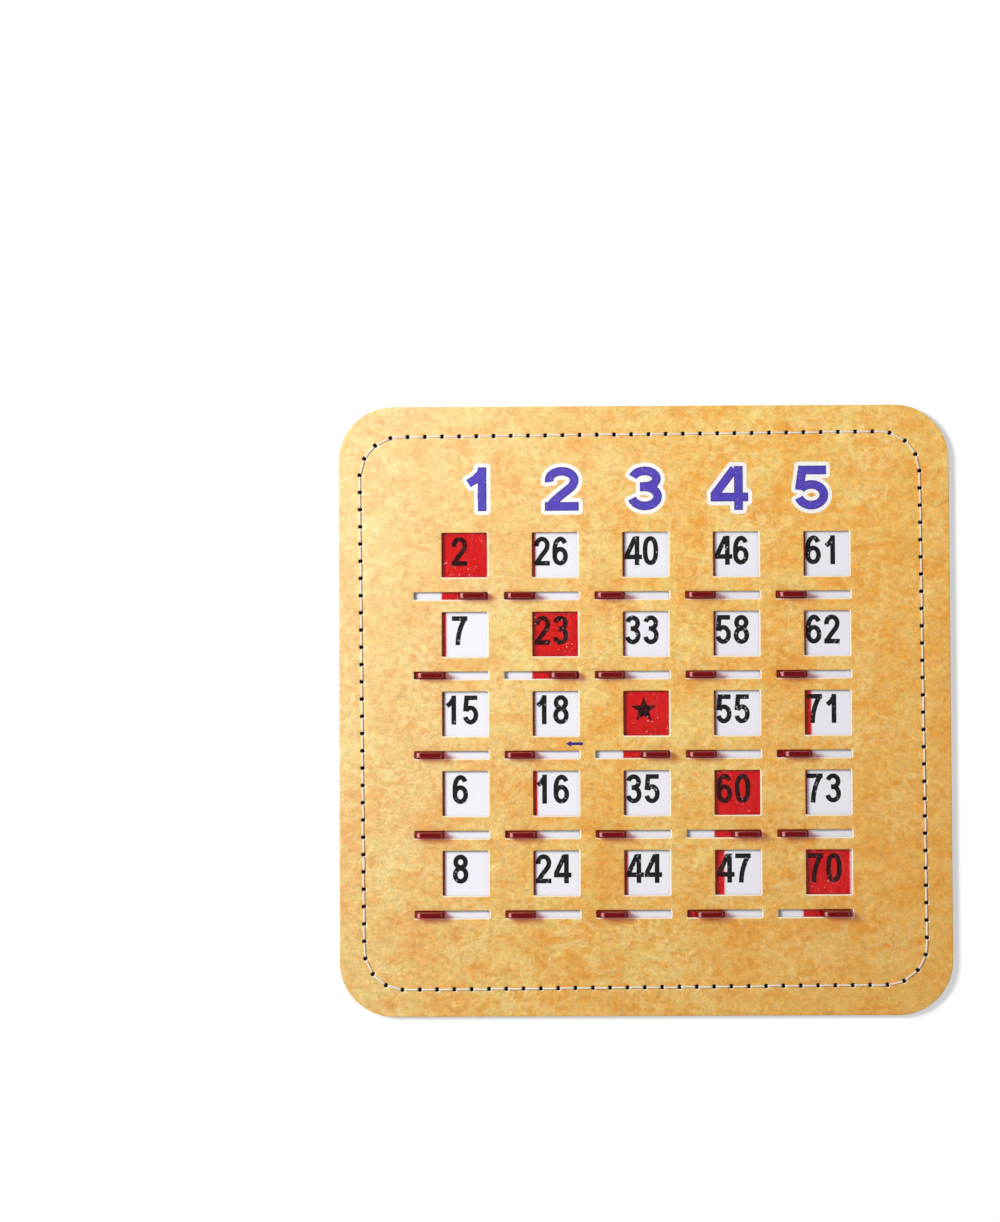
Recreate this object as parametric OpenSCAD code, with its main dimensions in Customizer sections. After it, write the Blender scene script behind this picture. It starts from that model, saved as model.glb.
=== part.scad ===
// Shutter bingo card: sewn plies of board with twenty-five sliding window shutters
//
// The card lies on its back. +X is its right, +Y its heading edge and +Z points out of its face.
// The origin is the middle of the back face. All lengths are in millimetres.

/* [Card] */
// Width of the card
card_w = 190; // [186:1:200]
// Height of the card
card_h = 189.4; // [186:0.2:200]
// Radius of the card's corners
card_corner_r = 17; // [14:0.5:22]

/* [Plies] */
// Thickness of the leather-grain paper on the face
facing_t = 0.2; // [0.1:0.05:0.4]
// Thickness of the board that the windows and slots are cut in
front_board_t = 0.8; // [0.6:0.1:1.2]
// Thickness of the paper that carries the numbers
sheet_t = 0.2; // [0.1:0.05:0.4]
// Thickness of the board at the back
back_board_t = 1; // [0.9:0.05:1.4]

/* [Windows] */
// Width of a window
window_w = 14.2; // [13:0.1:14.6]
// Height of a window
window_h = 13.9; // [12.5:0.1:14.2]
// Radius of a window's cut corners
window_corner_r = 0.3; // [0.2:0.1:0.8]
// Distance from a side edge of the card to the middle of its outer column of windows, at both sides alike
side_margin = 38.7; // [38:0.1:39]
// Distance from one row of windows to the next
row_pitch = 24.7; // [24.4:0.1:25.4]
// How far the middle of the grid lies right of the card's middle
grid_right = 0.5; // [0:0.1:3]
// How far the middle of the grid lies below the card's middle
grid_down = 1; // [0:0.1:3]

/* [Slots] */
// Height of a slot
slot_h = 2.35; // [2.2:0.05:2.6]
// Board left between a window and its slot
slot_below_window = 4.6; // [4.2:0.1:5]
// Radius of a slot's cut corners
slot_corner_r = 0.3; // [0.2:0.05:0.5]

/* [Shutters] */
// Thickness of a shutter's plate
plate_t = 0.5; // [0.4:0.05:0.6]
// Radius of the plate's corners
plate_corner_r = 0.7; // [0.3:0.1:1]
// How far the plate reaches past its window on each side
side_lap = 0.1; // [0.1:0.05:0.15]
// How far the plate reaches above its window
top_lap = 0.7; // [0.5:0.1:0.8]
// How far the plate reaches below its slot
bottom_lap = 0.6; // [0.4:0.1:0.7]
// Strip of its window that an open shutter still covers
open_lap = 0.65; // [0.5:0.05:1]
// Gap left when a closed shutter and its open neighbour meet in the runway
meeting_gap = 0.1; // [0.05:0.05:0.3]

/* [Finger tabs] */
// Width of a finger tab
tab_w = 9.2; // [8:0.1:9.4]
// Height of a finger tab above the face
tab_rise = 4.5; // [3.5:0.1:6]
// Thickness of a finger tab at its foot
tab_foot_t = 2.05; // [1.6:0.05:2.1]
// Thickness of a finger tab at its top
tab_top_t = 1.75; // [1.2:0.05:1.9]
// Radius of a finger tab's top corners, seen from its broad side
tab_corner_r = 1.5; // [0.8:0.1:2]
// Radius of the rounding along a finger tab's top edges
tab_edge_r = 0.35; // [0.2:0.05:0.5]

/* [Runways] */
// Air under a plate, which rides on the number sheet's fibres
plate_lift = 0.05; // [0.03:0.01:0.1]
// Clearance between a plate and the front board above it
plate_clear = 0.15; // [0.1:0.05:0.4]
// Clearance between a plate and the ribs above and below it
rib_clear = 0.15; // [0.1:0.05:0.25]
// Clearance at each end of a slot and of a runway's plates
end_clear = 0.15; // [0.1:0.05:0.3]
// Spare length at each end of a runway
runway_spare = 0.5; // [0.3:0.1:1.5]

/* [Stitching] */
// Distance of the stitch line from the card's top and bottom edges
stitch_inset = 8.9; // [7.5:0.1:9.5]
// Distance of the stitch line from the card's side edges, before it is moved left
stitch_side_inset = 7.9; // [7.5:0.1:9.5]
// How far the middle of the stitch line lies left of the card's middle
stitch_left = 0.7; // [0:0.1:1]
// Angle in degrees by which the stitching was fed askew, counter-clockwise
stitch_turn = 0.4; // [0:0.1:0.5]
// Radius of the stitch line's corners
stitch_corner_r = 12.5; // [9:0.5:13]
// Number of stitches
stitch_count = 125; // [110:1:130]
// Diameter of a needle hole
needle_hole_d = 1.6; // [1.4:0.1:1.8]
// Diameter of the sewing thread
thread_d = 0.6; // [0.45:0.05:0.65]

/* [Hidden] */
columns = 5;
rows = 5;

// How far open each shutter rests, row by row from the top: 0 is closed and 1 fully open
open_shares = [
    [0, 0.98, 1, 1, 1],
    [0.96, 0, 1, 1, 1],
    [1, 1, 0, 1, 0.9],
    [1, 0.96, 1, 0, 1],
    [1, 1, 0.97, 0.84, 0.05]
];

// Levels, upwards from the back face
spacer_t = plate_lift + plate_t + plate_clear;
sheet_z = back_board_t;
runway_z = sheet_z + sheet_t;
plate_z = runway_z + plate_lift;
front_board_z = runway_z + spacer_t;
facing_z = front_board_z + front_board_t;
face_z = facing_z + facing_t;

// Distance from one column of windows to the next, which shares out what the side margins leave
column_pitch = (card_w - 2 * side_margin) / (columns - 1);

// A plate, and its travel, which ends where its window is open or where it meets the next plate
plate_w = window_w + 2 * side_lap;
plate_h = top_lap + window_h + slot_below_window + slot_h + bottom_lap;
travel = min(window_w + side_lap - open_lap, column_pitch - plate_w - meeting_gap);

// A slot holds the tab, its travel and the clearance at both ends
slot_w = tab_w + travel + 2 * end_clear;

// A runway holds the plates of its row at both ends of their travel
runway_h = plate_h + 2 * rib_clear;
runway_left = column_x(1) - window_w / 2 - side_lap - travel - runway_spare;
runway_right = column_x(columns) + window_w / 2 + side_lap + runway_spare;
rib_h = row_pitch - runway_h;

// A tab's height, from the top of its plate
tab_h = face_z + tab_rise - plate_z - plate_t;

// The needle thread's legs go down to the number sheet, where the bobbin thread's legs meet them
thread_meet_z = runway_z;
// Thickness of a leg, which is drawn tight, as a share of the thread's own
leg_share = 0.8;
leg_d = leg_share * thread_d;
// Places of the two legs that share a needle hole, each side of its middle
leg_offset = 0.6 * thread_d;
// The bobbin thread is drawn into a groove of the back board, clear of its walls and of the back face
groove_clear = 0.05;
groove_w = thread_d + 2 * groove_clear;
groove_deep = groove_w;
// Distance that the first needle hole lies along the stitch line, as a share of one stitch
first_stitch_share = 0.85;

// How far a cutting solid runs past the face that it cuts
overrun = 1;

function rib_name(i) = str("rib_", i);
function shutter_name(r, c) = str("shutter_r", r, "_c", c);

// Middle of a column or a row of windows
function column_x(c) = grid_right + (c - (columns + 1) / 2) * column_pitch;
function row_y(r) = -grid_down - (r - (rows + 1) / 2) * row_pitch;

// Middle of a row's slots, and the edges of its plates and its runway
function slot_y(r) = row_y(r) - window_h / 2 - slot_below_window - slot_h / 2;
function plate_bottom(r) = slot_y(r) - slot_h / 2 - bottom_lap;
function runway_bottom(r) = plate_bottom(r) - rib_clear;
function runway_top(r) = runway_bottom(r) + runway_h;

// Right edge of a closed plate, which is also the right end of its tab
function closed_right(c) = column_x(c) + window_w / 2 + side_lap;

// A point of the stitch line at the distance s along it, counter-clockwise, with its heading.
// Each quarter is one straight side and the corner after it.
stitch_w = card_w - 2 * stitch_side_inset;
stitch_h = card_h - 2 * stitch_inset;
stitch_arc = PI / 2 * stitch_corner_r;
stitch_run_w = stitch_w - 2 * stitch_corner_r;
stitch_run_h = stitch_h - 2 * stitch_corner_r;
stitch_length = 2 * (stitch_run_w + stitch_run_h) + 4 * stitch_arc;
stitch_pitch = stitch_length / stitch_count;

function turned(p, angle) = [p.x * cos(angle) - p.y * sin(angle), p.x * sin(angle) + p.y * cos(angle)];
function on_quarter(s, run, half_across) =
    s < run
    ? [s - run / 2, -half_across]
    : let (a = (s - run) / stitch_corner_r * 180 / PI)
      [run / 2 + stitch_corner_r * sin(a), -half_across + stitch_corner_r * (1 - cos(a))];
function on_stitch_line(s) =
    let (half = stitch_run_w + stitch_run_h + 2 * stitch_arc)
    s >= half ? turned(on_stitch_line(s - half), 180)
    : s < stitch_run_w + stitch_arc ? on_quarter(s, stitch_run_w, stitch_h / 2)
    : turned(on_quarter(s - stitch_run_w - stitch_arc, stitch_run_h, stitch_w / 2), 90);
needle_holes = [
    for (i = [0:stitch_count - 1])
        turned(on_stitch_line((i + first_stitch_share) * stitch_pitch), stitch_turn) - [stitch_left, 0]
];

// A rectangle with round corners, centred
module rounded_rect(w, h, r) {
    square([w - 2 * r, h], center = true);
    square([w, h - 2 * r], center = true);
    for (x = [-1, 1], y = [-1, 1])
        translate([x * (w / 2 - r), y * (h / 2 - r)]) circle(r, $fn = 48);
}

module card_outline() {
    rounded_rect(card_w, card_h, card_corner_r);
}

module needle_hole_cuts() {
    for (p = needle_holes)
        translate(p) circle(d = needle_hole_d, $fn = 24);
}

module window_cuts() {
    for (r = [1:rows], c = [1:columns])
        translate([column_x(c), row_y(r)]) rounded_rect(window_w, window_h, window_corner_r);
}

module slot_cuts() {
    for (r = [1:rows], c = [1:columns])
        translate([closed_right(c) + end_clear - slot_w / 2, slot_y(r)])
            rounded_rect(slot_w, slot_h, slot_corner_r);
}

// Straight groove under each bobbin stitch, from one needle hole to the next
module bobbin_groove_cuts() {
    for (i = [0:stitch_count - 1])
        at_stitch(i) square([stitch_chord(i), groove_w], center = true);
}

// A ply with the card's outline and the needle holes
module pierced_ply(z, thickness) {
    translate([0, 0, z])
        linear_extrude(thickness)
            difference() {
                card_outline();
                needle_hole_cuts();
                children();
            }
}

module back_board() {
    color("gainsboro")
        difference() {
            pierced_ply(0, back_board_t);
            translate([0, 0, -overrun]) linear_extrude(overrun + groove_deep) bobbin_groove_cuts();
        }
}

module number_sheet() {
    color("white") pierced_ply(sheet_z, sheet_t);
}

module front_board() {
    color("gainsboro")
        pierced_ply(front_board_z, front_board_t) {
            window_cuts();
            slot_cuts();
        }
}

module front_facing() {
    color("burlywood")
        pierced_ply(facing_z, facing_t) {
            window_cuts();
            slot_cuts();
        }
}

// The part of the spacer layer between two corners, with the card's outline and the needle holes
module spacer(low, high) {
    color("lightgray")
        translate([0, 0, runway_z])
            linear_extrude(spacer_t)
                difference() {
                    intersection() {
                        card_outline();
                        translate(low) square(high - low);
                    }
                    needle_hole_cuts();
                }
}

module spacer_top() {
    spacer([-card_w / 2, runway_top(1)], [card_w / 2, card_h / 2]);
}

module spacer_bottom() {
    spacer([-card_w / 2, -card_h / 2], [card_w / 2, runway_bottom(rows)]);
}

module spacer_left() {
    spacer([-card_w / 2, runway_bottom(rows)], [runway_left, runway_top(1)]);
}

module spacer_right() {
    spacer([runway_right, runway_bottom(rows)], [card_w / 2, runway_top(1)]);
}

// The strip between a row's runway and the next row's
module rib(i) {
    color("lightgray")
        translate([runway_left, runway_top(i + 1), runway_z])
            cube([runway_right - runway_left, rib_h, spacer_t]);
}

// A tab's broad side: straight at the foot, round at the top corners
module tab_front() {
    translate([-tab_w, 0]) square([tab_w, tab_h - tab_corner_r]);
    translate([-tab_w + tab_corner_r, 0]) square([tab_w - 2 * tab_corner_r, tab_h]);
    for (x = [-tab_w + tab_corner_r, -tab_corner_r])
        translate([x, tab_h - tab_corner_r]) circle(tab_corner_r, $fn = 48);
}

// A tab's narrow side: tapered from its foot, with rounded top edges
module tab_side() {
    round_z = tab_h - tab_edge_r;
    polygon([
        [-tab_foot_t / 2, 0], [tab_foot_t / 2, 0], [tab_top_t / 2, round_z], [-tab_top_t / 2, round_z]
    ]);
    translate([-tab_top_t / 2 + tab_edge_r, 0]) square([tab_top_t - 2 * tab_edge_r, tab_h]);
    for (y = [-1, 1])
        translate([y * (tab_top_t / 2 - tab_edge_r), round_z]) circle(tab_edge_r, $fn = 32);
}

module finger_tab() {
    intersection() {
        rotate([90, 0, 0])
            translate([0, 0, -tab_foot_t]) linear_extrude(2 * tab_foot_t) tab_front();
        rotate([90, 0, 90])
            translate([0, 0, -tab_w]) linear_extrude(tab_w) tab_side();
    }
}

// A shutter where it rests: its plate in the runway and its tab up through the slot.
// The plate's right edge and the tab's right end are in one line.
module shutter(r, c) {
    color("crimson")
        translate([closed_right(c) - open_shares[r - 1][c - 1] * travel, slot_y(r), plate_z]) {
            translate([-plate_w / 2, plate_bottom(r) - slot_y(r) + plate_h / 2, 0])
                linear_extrude(plate_t) rounded_rect(plate_w, plate_h, plate_corner_r);
            translate([0, 0, plate_t]) finger_tab();
        }
}

// The chord from one needle hole to the next, and a place at its middle along it
function next_hole(i) = needle_holes[(i + 1) % stitch_count];
function stitch_chord(i) = norm(next_hole(i) - needle_holes[i]);
module at_stitch(i) {
    along = next_hole(i) - needle_holes[i];
    translate((needle_holes[i] + next_hole(i)) / 2)
        rotate(atan2(along.y, along.x)) children();
}

// One stitch: a run of thread along X, whose ends rest on two legs that go down by leg_h
module stitch(chord, leg_h) {
    legs_apart = chord - 2 * leg_offset;
    run = legs_apart + leg_d / 2;
    translate([-run / 2, 0, 0]) rotate([0, 90, 0]) cylinder(d = thread_d, h = run, $fn = 24);
    for (x = [-legs_apart / 2, legs_apart / 2])
        translate([x, 0, -leg_h]) cylinder(d = leg_d, h = leg_h, $fn = 24);
}

module needle_thread() {
    run_z = face_z + thread_d / 2;
    color("ivory")
        translate([0, 0, run_z])
            for (i = [0:stitch_count - 1])
                at_stitch(i) stitch(stitch_chord(i), run_z - thread_meet_z);
}

module bobbin_thread() {
    run_z = groove_clear + thread_d / 2;
    color("ivory")
        translate([0, 0, run_z])
            for (i = [0:stitch_count - 1])
                at_stitch(i) rotate([180, 0, 0]) stitch(stitch_chord(i), thread_meet_z - run_z);
}

back_board();
number_sheet();
spacer_top();
spacer_bottom();
spacer_left();
spacer_right();
for (i = [1:rows - 1])
    rib(i);
front_board();
front_facing();
needle_thread();
bobbin_thread();
for (r = [1:rows], c = [1:columns])
    shutter(r, c);
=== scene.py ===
import math

import bpy
import numpy as np
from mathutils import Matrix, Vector, noise
from mathutils.geometry import delaunay_2d_cdt


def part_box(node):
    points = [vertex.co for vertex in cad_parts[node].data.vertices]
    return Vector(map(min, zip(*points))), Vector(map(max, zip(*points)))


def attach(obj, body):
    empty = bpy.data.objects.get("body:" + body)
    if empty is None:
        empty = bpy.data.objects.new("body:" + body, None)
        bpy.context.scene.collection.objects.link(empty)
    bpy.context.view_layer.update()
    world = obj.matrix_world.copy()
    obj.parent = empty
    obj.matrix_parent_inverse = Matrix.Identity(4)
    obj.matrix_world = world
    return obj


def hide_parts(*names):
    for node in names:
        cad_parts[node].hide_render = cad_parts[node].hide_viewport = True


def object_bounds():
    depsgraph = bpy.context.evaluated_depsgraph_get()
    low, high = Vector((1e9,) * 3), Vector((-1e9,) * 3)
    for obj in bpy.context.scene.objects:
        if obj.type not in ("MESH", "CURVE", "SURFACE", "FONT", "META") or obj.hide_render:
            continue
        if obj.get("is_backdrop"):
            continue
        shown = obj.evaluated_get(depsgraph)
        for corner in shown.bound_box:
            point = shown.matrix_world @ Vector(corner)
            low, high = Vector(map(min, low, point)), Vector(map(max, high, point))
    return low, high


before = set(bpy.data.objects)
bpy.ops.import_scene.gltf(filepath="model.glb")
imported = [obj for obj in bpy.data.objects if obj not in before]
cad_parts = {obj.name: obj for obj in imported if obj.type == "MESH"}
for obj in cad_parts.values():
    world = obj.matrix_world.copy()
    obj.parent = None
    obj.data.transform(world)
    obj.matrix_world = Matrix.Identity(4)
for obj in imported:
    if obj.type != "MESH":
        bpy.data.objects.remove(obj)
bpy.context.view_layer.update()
MM = 0.001

# Sizes of the card, as in the part's source
CARD_W, CARD_H, CARD_R = 190.0, 189.4, 17.0
WINDOW_W, WINDOW_H, WINDOW_R = 14.2, 13.9, 0.3
SLOT_W, SLOT_H, SLOT_R = 23.15, 2.35, 0.3
SLOT_RIGHT = WINDOW_W / 2 + 0.25  # right end of a slot, from the middle of its window
SLOT_DOWN = WINDOW_H / 2 + 4.6 + SLOT_H / 2  # middle of a slot, below the middle of its window
COLUMN_X = [0.5 + 28.15 * i for i in (-2, -1, 0, 1, 2)]
ROW_Y = [-1 - 24.7 * i for i in (-2, -1, 0, 1, 2)]
FACE_Z, FACING_BOTTOM_Z, SHEET_Z = 2.9, 2.7, 1.2
STITCH_INSET, STITCH_SIDE_INSET, STITCH_R = 8.9, 7.9, 12.5
STITCH_LEFT, STITCH_TURN, STITCHES, FIRST_STITCH = 0.7, math.radians(0.4), 125, 0.85

# Camera, fitted to the photograph

CAMERA_DISTANCE = 800.0
PIXELS_PER_MM = 3.2208
CARD_PIXEL = (644.71, 709.93)
PICTURE = (1000, 1222)
CAMERA_TURN = (0.0285, 0.0066, -0.0047)
SENSOR_W = 36.0

camera_data = bpy.data.cameras.new("camera")
camera = bpy.data.objects.new("camera", camera_data)
bpy.context.scene.collection.objects.link(camera)
bpy.context.scene.camera = camera
camera.rotation_mode = "ZYX"
camera.rotation_euler = CAMERA_TURN
camera_data.sensor_width = SENSOR_W
camera_data.sensor_fit = "AUTO"
camera_data.lens = PIXELS_PER_MM * CAMERA_DISTANCE / PICTURE[1] * SENSOR_W
camera_data.clip_end = 20.0
to_card = Vector((
    (CARD_PIXEL[0] - PICTURE[0] / 2) / PIXELS_PER_MM,
    -(CARD_PIXEL[1] - PICTURE[1] / 2) / PIXELS_PER_MM,
    -CAMERA_DISTANCE,
))
turn = camera.rotation_euler.to_matrix()
camera.location = (Vector((0, 0, FACE_Z)) - turn @ to_card) * MM


# Outlines

def rounded_rect(w, h, r, cx=0.0, cy=0.0, step=0.9, arc=6):
    """Counter-clockwise points of a round-cornered rectangle, close enough together for the sheet's mesh."""
    points = []
    for quarter, (sx, sy) in enumerate(((1, -1), (1, 1), (-1, 1), (-1, -1))):
        ax, ay = cx + sx * (w / 2 - r), cy + sy * (h / 2 - r)
        start = -math.pi / 2 + quarter * math.pi / 2
        for i in range(arc + 1):
            a = start + math.pi / 2 * i / arc
            points.append((ax + r * math.cos(a), ay + r * math.sin(a)))
    full = []
    for i, p in enumerate(points):
        q = points[(i + 1) % len(points)]
        full.append(p)
        n = int(math.hypot(q[0] - p[0], q[1] - p[1]) / step)
        for k in range(1, n):
            full.append((p[0] + (q[0] - p[0]) * k / n, p[1] + (q[1] - p[1]) * k / n))
    return full


def circle(cx, cy, r, n):
    angles = [2 * math.pi * i / n for i in range(n)]
    return [(cx + r * math.cos(a), cy + r * math.sin(a)) for a in angles]


def stitch_line(s):
    """A point at the distance s along the stitch line, counter-clockwise from the lower side's left end."""
    half_w, half_h = CARD_W / 2 - STITCH_SIDE_INSET, CARD_H / 2 - STITCH_INSET
    arc = math.pi / 2 * STITCH_R
    runs = (2 * (half_w - STITCH_R), 2 * (half_h - STITCH_R)) * 2
    across = (half_h, half_w) * 2
    for quarter in range(4):
        run = runs[quarter]
        if s < run + arc or quarter == 3:
            break
        s -= run + arc
    if s < run:
        x, y = s - run / 2, -across[quarter]
    else:
        a = (s - run) / STITCH_R
        x, y = run / 2 + STITCH_R * math.sin(a), -across[quarter] + STITCH_R * (1 - math.cos(a))
    for _ in range(quarter):
        x, y = -y, x
    c, n = math.cos(STITCH_TURN), math.sin(STITCH_TURN)
    return x * c - y * n - STITCH_LEFT, x * n + y * c


stitch_sides = 2 * (CARD_W - 2 * STITCH_SIDE_INSET + CARD_H - 2 * STITCH_INSET) - 8 * STITCH_R
stitch_total = stitch_sides + 2 * math.pi * STITCH_R
HOLES = [stitch_line((i + FIRST_STITCH) * stitch_total / STITCHES) for i in range(STITCHES)]
WINDOWS = [(x, y) for y in ROW_Y for x in COLUMN_X]
SLOTS = [(x + SLOT_RIGHT - SLOT_W / 2, y - SLOT_DOWN) for x, y in WINDOWS]


# Numerals

def arc(cx, cy, rx, ry, a0, a1, n=16, p=2.0):
    """Points along an ellipse, or a squarer curve where p is over 2, between two angles in degrees."""
    points = []
    for i in range(n + 1):
        a = math.radians(a0 + (a1 - a0) * i / n)
        c, s = math.cos(a), math.sin(a)
        u, v = math.copysign(abs(c) ** (2 / p), c), math.copysign(abs(s) ** (2 / p), s)
        points.append((cx + rx * u, cy + ry * v))
    return points


def bezier(a, b, c, d, n=12):
    """Points along the Bezier curve from a to d."""
    points = []
    for i in range(n + 1):
        t = i / n
        u = 1 - t
        w = u ** 3, 3 * u * u * t, 3 * u * t * t, t ** 3
        points.append(tuple(w[0] * a[k] + w[1] * b[k] + w[2] * c[k] + w[3] * d[k] for k in (0, 1)))
    return points


# The middle lines of each numeral's strokes, in a box from 0 to 1, and how far each end runs on, in half
# widths
NUMERALS = {
    "0": [(arc(0.5, 0.5, 0.5, 0.5, 0, 360, 40, 2.35), 0, 0)],
    "1": [([(0.63, 0), (0.63, 1)], 1, 1), ([(0.02, 0.66), (0.33, 0.78), (0.6, 0.96)], 0, 0)],
    "2": [(arc(0.5, 0.745, 0.5, 0.255, 192, -22)
           + bezier((0.955, 0.62), (0.86, 0.5), (0.3, 0.27), (0.06, 0.03))[1:], 0, 0),
          ([(0, 0), (1, 0)], 1, 1)],
    "3": [(arc(0.49, 0.778, 0.47, 0.222, 168, -80) + [(0.3, 0.552)], 0, 0),
          ([(0.3, 0.545)] + arc(0.49, 0.272, 0.51, 0.272, 80, -168), 0, 0)],
    "4": [([(0.93, 0), (0.93, 1)], 1, 1), ([(0, 0.242), (1, 0.242)], 1, 1.8),
          ([(-0.025, 0.298), (0.77, 1.05)], 0, 0)],
    "5": [([(0.16, 1), (0.92, 1)], 1, 1), ([(0.14, 0.98), (0.035, 0.47)], 0, 0.3),
          (arc(0.5, 0.295, 0.5, 0.295, 146, -165, 22), 0, 0)],
    "6": [(arc(0.5, 0.29, 0.5, 0.29, 0, 360, 36), 0, 0),
          ([(0, 0.29)] + arc(0.53, 0.56, 0.53, 0.44, 180, 36), 0, 0)],
    "7": [([(0, 1), (1, 1)], 1, 1), (bezier((0.97, 1), (0.62, 0.72), (0.36, 0.38), (0.33, 0)), 0, 1)],
    "8": [(arc(0.5, 0.785, 0.45, 0.215, 0, 360, 32), 0, 0), (arc(0.5, 0.265, 0.5, 0.265, 0, 360, 36), 0, 0)],
}


def stroke_pieces(path, width, end0, end1):
    """The convex quads of a stroke of even width along a path."""
    p = np.array(path, float)
    closed = np.allclose(p[0], p[-1])
    step = np.diff(p, axis=0)
    step /= np.linalg.norm(step, axis=1)[:, None]
    if not closed:
        p[0] -= step[0] * end0 * width / 2
        p[-1] += step[-1] * end1 * width / 2
        heading = np.vstack([step[:1], step[:-1] + step[1:], step[-1:]])
    else:
        heading = np.vstack([step[:1] + step[-1:], step[:-1] + step[1:], step[:1] + step[-1:]])
    heading /= np.linalg.norm(heading, axis=1)[:, None]
    side = np.stack([-heading[:, 1], heading[:, 0]], 1) * width / 2
    left, right = p + side, p - side
    return [[tuple(right[i]), tuple(right[i + 1]), tuple(left[i + 1]), tuple(left[i])]
            for i in range(len(p) - 1)]


def numeral(character, x, y, w, h, width):
    """The convex pieces of a numeral whose box has its lower left corner at x, y."""
    pieces = []
    for path, end0, end1 in NUMERALS[character]:
        placed = [(x + width / 2 + u * (w - width), y + width / 2 + v * (h - width)) for u, v in path]
        pieces += stroke_pieces(placed, width, end0, end1)
    return pieces


def grown(piece, by, n=4):
    """A convex counter-clockwise piece made larger all round, with round corners."""
    points = []
    count = len(piece)
    for i in range(count):
        a, b, c = piece[i - 1], piece[i], piece[(i + 1) % count]
        out0 = math.atan2(-(b[0] - a[0]), b[1] - a[1])
        out1 = math.atan2(-(c[0] - b[0]), c[1] - b[1])
        swing = (out1 - out0) % (2 * math.pi)
        for k in range(n + 1):
            angle = out0 + swing * k / n
            points.append((b[0] + by * math.cos(angle), b[1] + by * math.sin(angle)))
    return points


# Flat sheets cut to their outlines

def cut_sheet(outline, holes, inks=(), free=()):
    """Triangulates an outline less its holes. inks is [(index, convex pieces)], the first taking precedence.
    Returns the vertices, the triangles, each triangle's ink and the loops, as the vertices along each cut."""
    points, faces, kinds = [], [], []
    for kind, loop in [("outline", outline)] + [("hole", h) for h in holes] + [
            (index, piece) for index, pieces in inks for piece in pieces]:
        faces.append(list(range(len(points), len(points) + len(loop))))
        points += [Vector(p) for p in loop]
        kinds.append(kind)
    points += [Vector(p) for p in free]
    verts, _, tris, orig_verts, _, orig_faces = delaunay_2d_cdt(points, [], faces, 0, 1e-6)
    place = {}
    for i, olds in enumerate(orig_verts):
        for old in olds:
            place[old] = i
    loops = [[place[i] for i in faces[k]] for k in range(1 + len(holes))]
    order = [index for index, _ in inks]
    kept, ink_of = [], []
    for tri, olds in zip(tris, orig_faces):
        met = {kinds[k] for k in olds}
        if "outline" not in met or "hole" in met:
            continue
        kept.append(tri)
        ink_of.append(next((index for index in order if index in met), 0))
    used = sorted({i for tri in kept for i in tri})
    new = {old: i for i, old in enumerate(used)}
    xy = np.array([verts[i] for i in used])
    kept = [tuple(new[i] for i in tri) for tri in kept]
    return xy, kept, ink_of, [[new[i] for i in loop] for loop in loops]


def new_mesh(name, verts, faces, materials, face_material=None, smooth=None):
    mesh = bpy.data.meshes.new(name)
    mesh.from_pydata([tuple(v) for v in np.asarray(verts, float) * MM], [], faces)
    for m in materials:
        mesh.materials.append(m)
    if face_material is not None:
        mesh.polygons.foreach_set("material_index", np.array(face_material, np.int32))
    if smooth is not None:
        mesh.polygons.foreach_set("use_smooth", np.array(smooth, bool))
    mesh.update()
    obj = bpy.data.objects.new(name, mesh)
    bpy.context.scene.collection.objects.link(obj)
    return obj


def add_piece(obj, body, slot, *replaced):
    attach(obj, body)
    if replaced:
        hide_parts(*replaced)
    return obj


def sheet_solid(name, xy, tris, inks, loops, top_z, bottom_z, materials, wall_inks):
    """A closed sheet: the top as given, a plain bottom with the same cuts, and walls with one ink a loop."""
    n = len(xy)
    bottom_xy, bottom_tris, _, bottom_loops = cut_sheet(
        [tuple(xy[i]) for i in loops[0]], [[tuple(xy[i]) for i in loop] for loop in loops[1:]])
    verts = np.vstack([np.c_[xy, top_z], np.c_[bottom_xy, np.full(len(bottom_xy), bottom_z)]])
    faces = [tuple(t) for t in tris]
    kinds = list(inks)
    smooth = [True] * len(faces)
    faces += [tuple(n + i for i in reversed(t)) for t in bottom_tris]
    kinds += [wall_inks[0]] * len(bottom_tris)
    for k, (top, low) in enumerate(zip(loops, bottom_loops)):
        for i in range(len(top)):
            j = (i + 1) % len(top)
            quad = (top[j], top[i], n + low[i], n + low[j])
            faces.append(quad if k == 0 else quad[::-1])
            kinds.append(wall_inks[k])
    smooth += [False] * (len(faces) - len(smooth))
    return new_mesh(name, verts, faces, materials, kinds, smooth)


# Materials

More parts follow.
